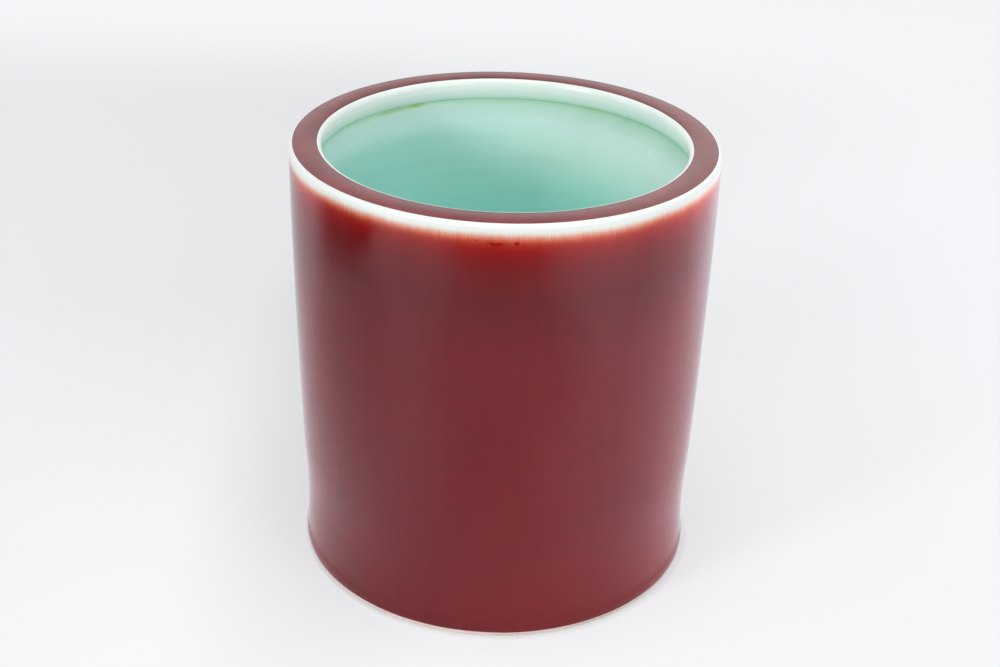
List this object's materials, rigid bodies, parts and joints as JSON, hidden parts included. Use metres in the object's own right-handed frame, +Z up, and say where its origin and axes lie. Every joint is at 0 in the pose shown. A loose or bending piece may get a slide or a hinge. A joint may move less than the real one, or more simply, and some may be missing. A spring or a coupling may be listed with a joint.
{
  "type": "brush pot",
  "caption": "Cylindrical porcelain brush pot with a flat rim, slight waist, red glazed outside, pale glazed inside and bare foot ring.",
  "frame": {"origin": "centre of the circle on which the foot ring stands, on the table plane", "axes": "+Z up along the pot's axis of revolution, out of the mouth; +X and +Y are any two level directions, and -Y faces the picture's camera"},
  "size_m": [0.1832, 0.1832, 0.1946],
  "materials": {
    "bare_porcelain": "bare fired porcelain, fine and dry, warm off-white",
    "copper_red_glaze": "thick oxblood copper-red glaze, soft gloss, bright red where it thins under the lip",
    "white_lip_glaze": "glossy white glaze",
    "rim_red_glaze": "thin red-brown glaze with a satin, slightly pitted face",
    "pale_lip_glaze": "glossy white glaze that turns pale green as it thickens",
    "celadon_glaze": "glossy pale sea-green glaze",
    "base_glaze": "glossy clear glaze over white porcelain, faint green"
  },
  "bodies": {
    "root": {"porcelain_body": "bare_porcelain", "outer_red_glaze": "copper_red_glaze", "outer_lip_white_glaze": "white_lip_glaze", "rim_red_glaze": "rim_red_glaze", "inner_lip_white_glaze": "pale_lip_glaze", "inner_celadon_glaze": "celadon_glaze", "base_glaze": "base_glaze"}
  },
  "joints": []
}
